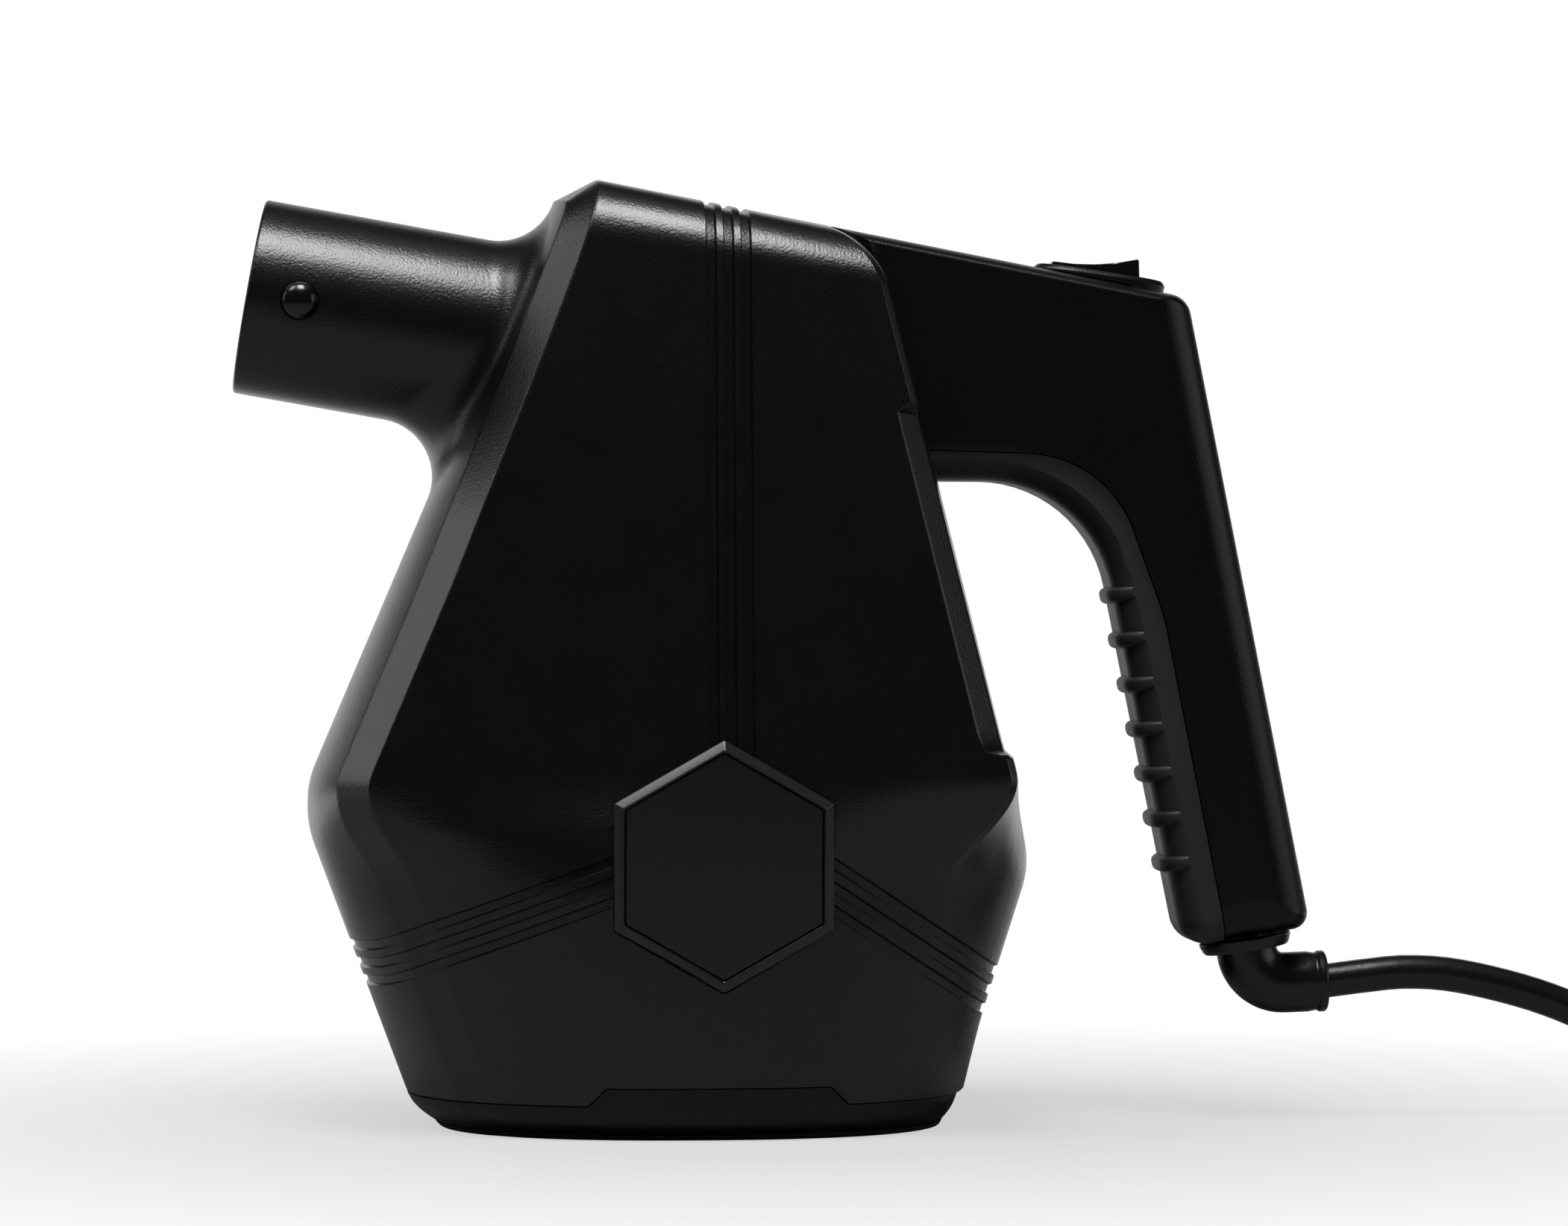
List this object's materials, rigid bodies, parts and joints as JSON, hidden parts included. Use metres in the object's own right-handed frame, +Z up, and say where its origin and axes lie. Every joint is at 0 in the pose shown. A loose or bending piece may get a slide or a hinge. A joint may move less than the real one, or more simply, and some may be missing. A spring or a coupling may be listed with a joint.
{
  "type": "car dryer blower",
  "caption": "Handheld corded blower: a faceted upright body with a side nozzle, a pistol handle with a rocker switch and rubber grip, and a slotted intake base.",
  "frame": {"origin": "middle of the dryer's own box on the surface it stands on, cord left out", "axes": "+X from the nozzle towards the handle, +Y across the width, +Z up"},
  "size_m": [0.5128, 0.1961, 0.2438],
  "materials": {
    "body_plastic": "satin moulded black",
    "handle_plastic": "fine grained black",
    "gloss_plastic": "polished black",
    "rim_plastic": "satin dark grey",
    "grip_rubber": "matte black",
    "pad_rubber": "matte black",
    "mount_rubber": "matte black",
    "cord_rubber": "satin black jacket",
    "filter_foam": "open-cell grey foam",
    "steel": "bright zinc",
    "laminations": "varnished stack",
    "cast_alloy": "as cast",
    "impeller_alloy": "pressed sheet",
    "winding": "enamelled copper wire",
    "contact_brass": "bright",
    "natural_plastic": "natural moulded",
    "strap_plastic": "satin black"
  },
  "bodies": {
    "housing": {"body_shell_left": "body_plastic", "body_shell_right": "body_plastic", "badge_rim_left": "rim_plastic", "badge_rim_right": "rim_plastic", "badge_plate_left": "gloss_plastic", "badge_plate_right": "gloss_plastic", "bayonet_pin_left": "gloss_plastic", "bayonet_pin_right": "gloss_plastic", "fan_gasket": "mount_rubber", "fan_can": "steel", "diffuser": "steel", "motor_bracket_lower": "cast_alloy", "motor_bracket_upper": "cast_alloy", "stator_core": "laminations", "field_coil_front": "winding", "field_coil_rear": "winding", "bearing_lower": "steel", "bearing_upper": "steel", "brush_holder_left": "natural_plastic", "brush_holder_right": "natural_plastic", "motor_mount_upper": "mount_rubber", "handle_left": "handle_plastic", "handle_right": "handle_plastic", "rubber_grip": "grip_rubber", "switch_bezel": "handle_plastic", "switch_body": "natural_plastic", "cord_elbow": "cord_rubber", "supply_lead": "cord_rubber", "motor_lead": "cord_rubber", "power_cord": "cord_rubber", "cord_tail": "cord_rubber", "cord_coil": "cord_rubber", "coil_tie": "strap_plastic", "plug_body": "cord_rubber", "plug_blade_left": "contact_brass", "plug_blade_right": "contact_brass", "plug_ground_pin": "contact_brass", "body_screw_1": "steel", "body_screw_2": "steel", "body_screw_3": "steel", "body_screw_4": "steel", "body_screw_5": "steel", "handle_screw_1": "steel", "handle_screw_2": "steel", "handle_screw_3": "steel"},
    "rotor": {"motor_shaft": "steel", "impeller_lower": "impeller_alloy", "impeller_upper": "impeller_alloy", "armature": "laminations", "commutator": "contact_brass"},
    "switch_rocker": {"rocker": "gloss_plastic"},
    "intake": {"intake_cover": "handle_plastic", "base_pad": "pad_rubber", "foam_filter": "filter_foam"}
  },
  "joints": [
    {"name": "rotor_spin", "type": "hinge", "parent": "housing", "child": "rotor", "pos_m": [-0.026, 0, 0.09], "axis": [0, 0, 1], "continuous": true},
    {"name": "rocker_tilt", "type": "hinge", "parent": "housing", "child": "switch_rocker", "pos_m": [0.08142, 0, 0.21652], "axis": [0, 1, 0], "range_deg": [0, 25]},
    {"name": "intake_pull", "type": "slide", "parent": "housing", "child": "intake", "axis": [0, 0, -1], "range_m": [0, 0.03]}
  ]
}
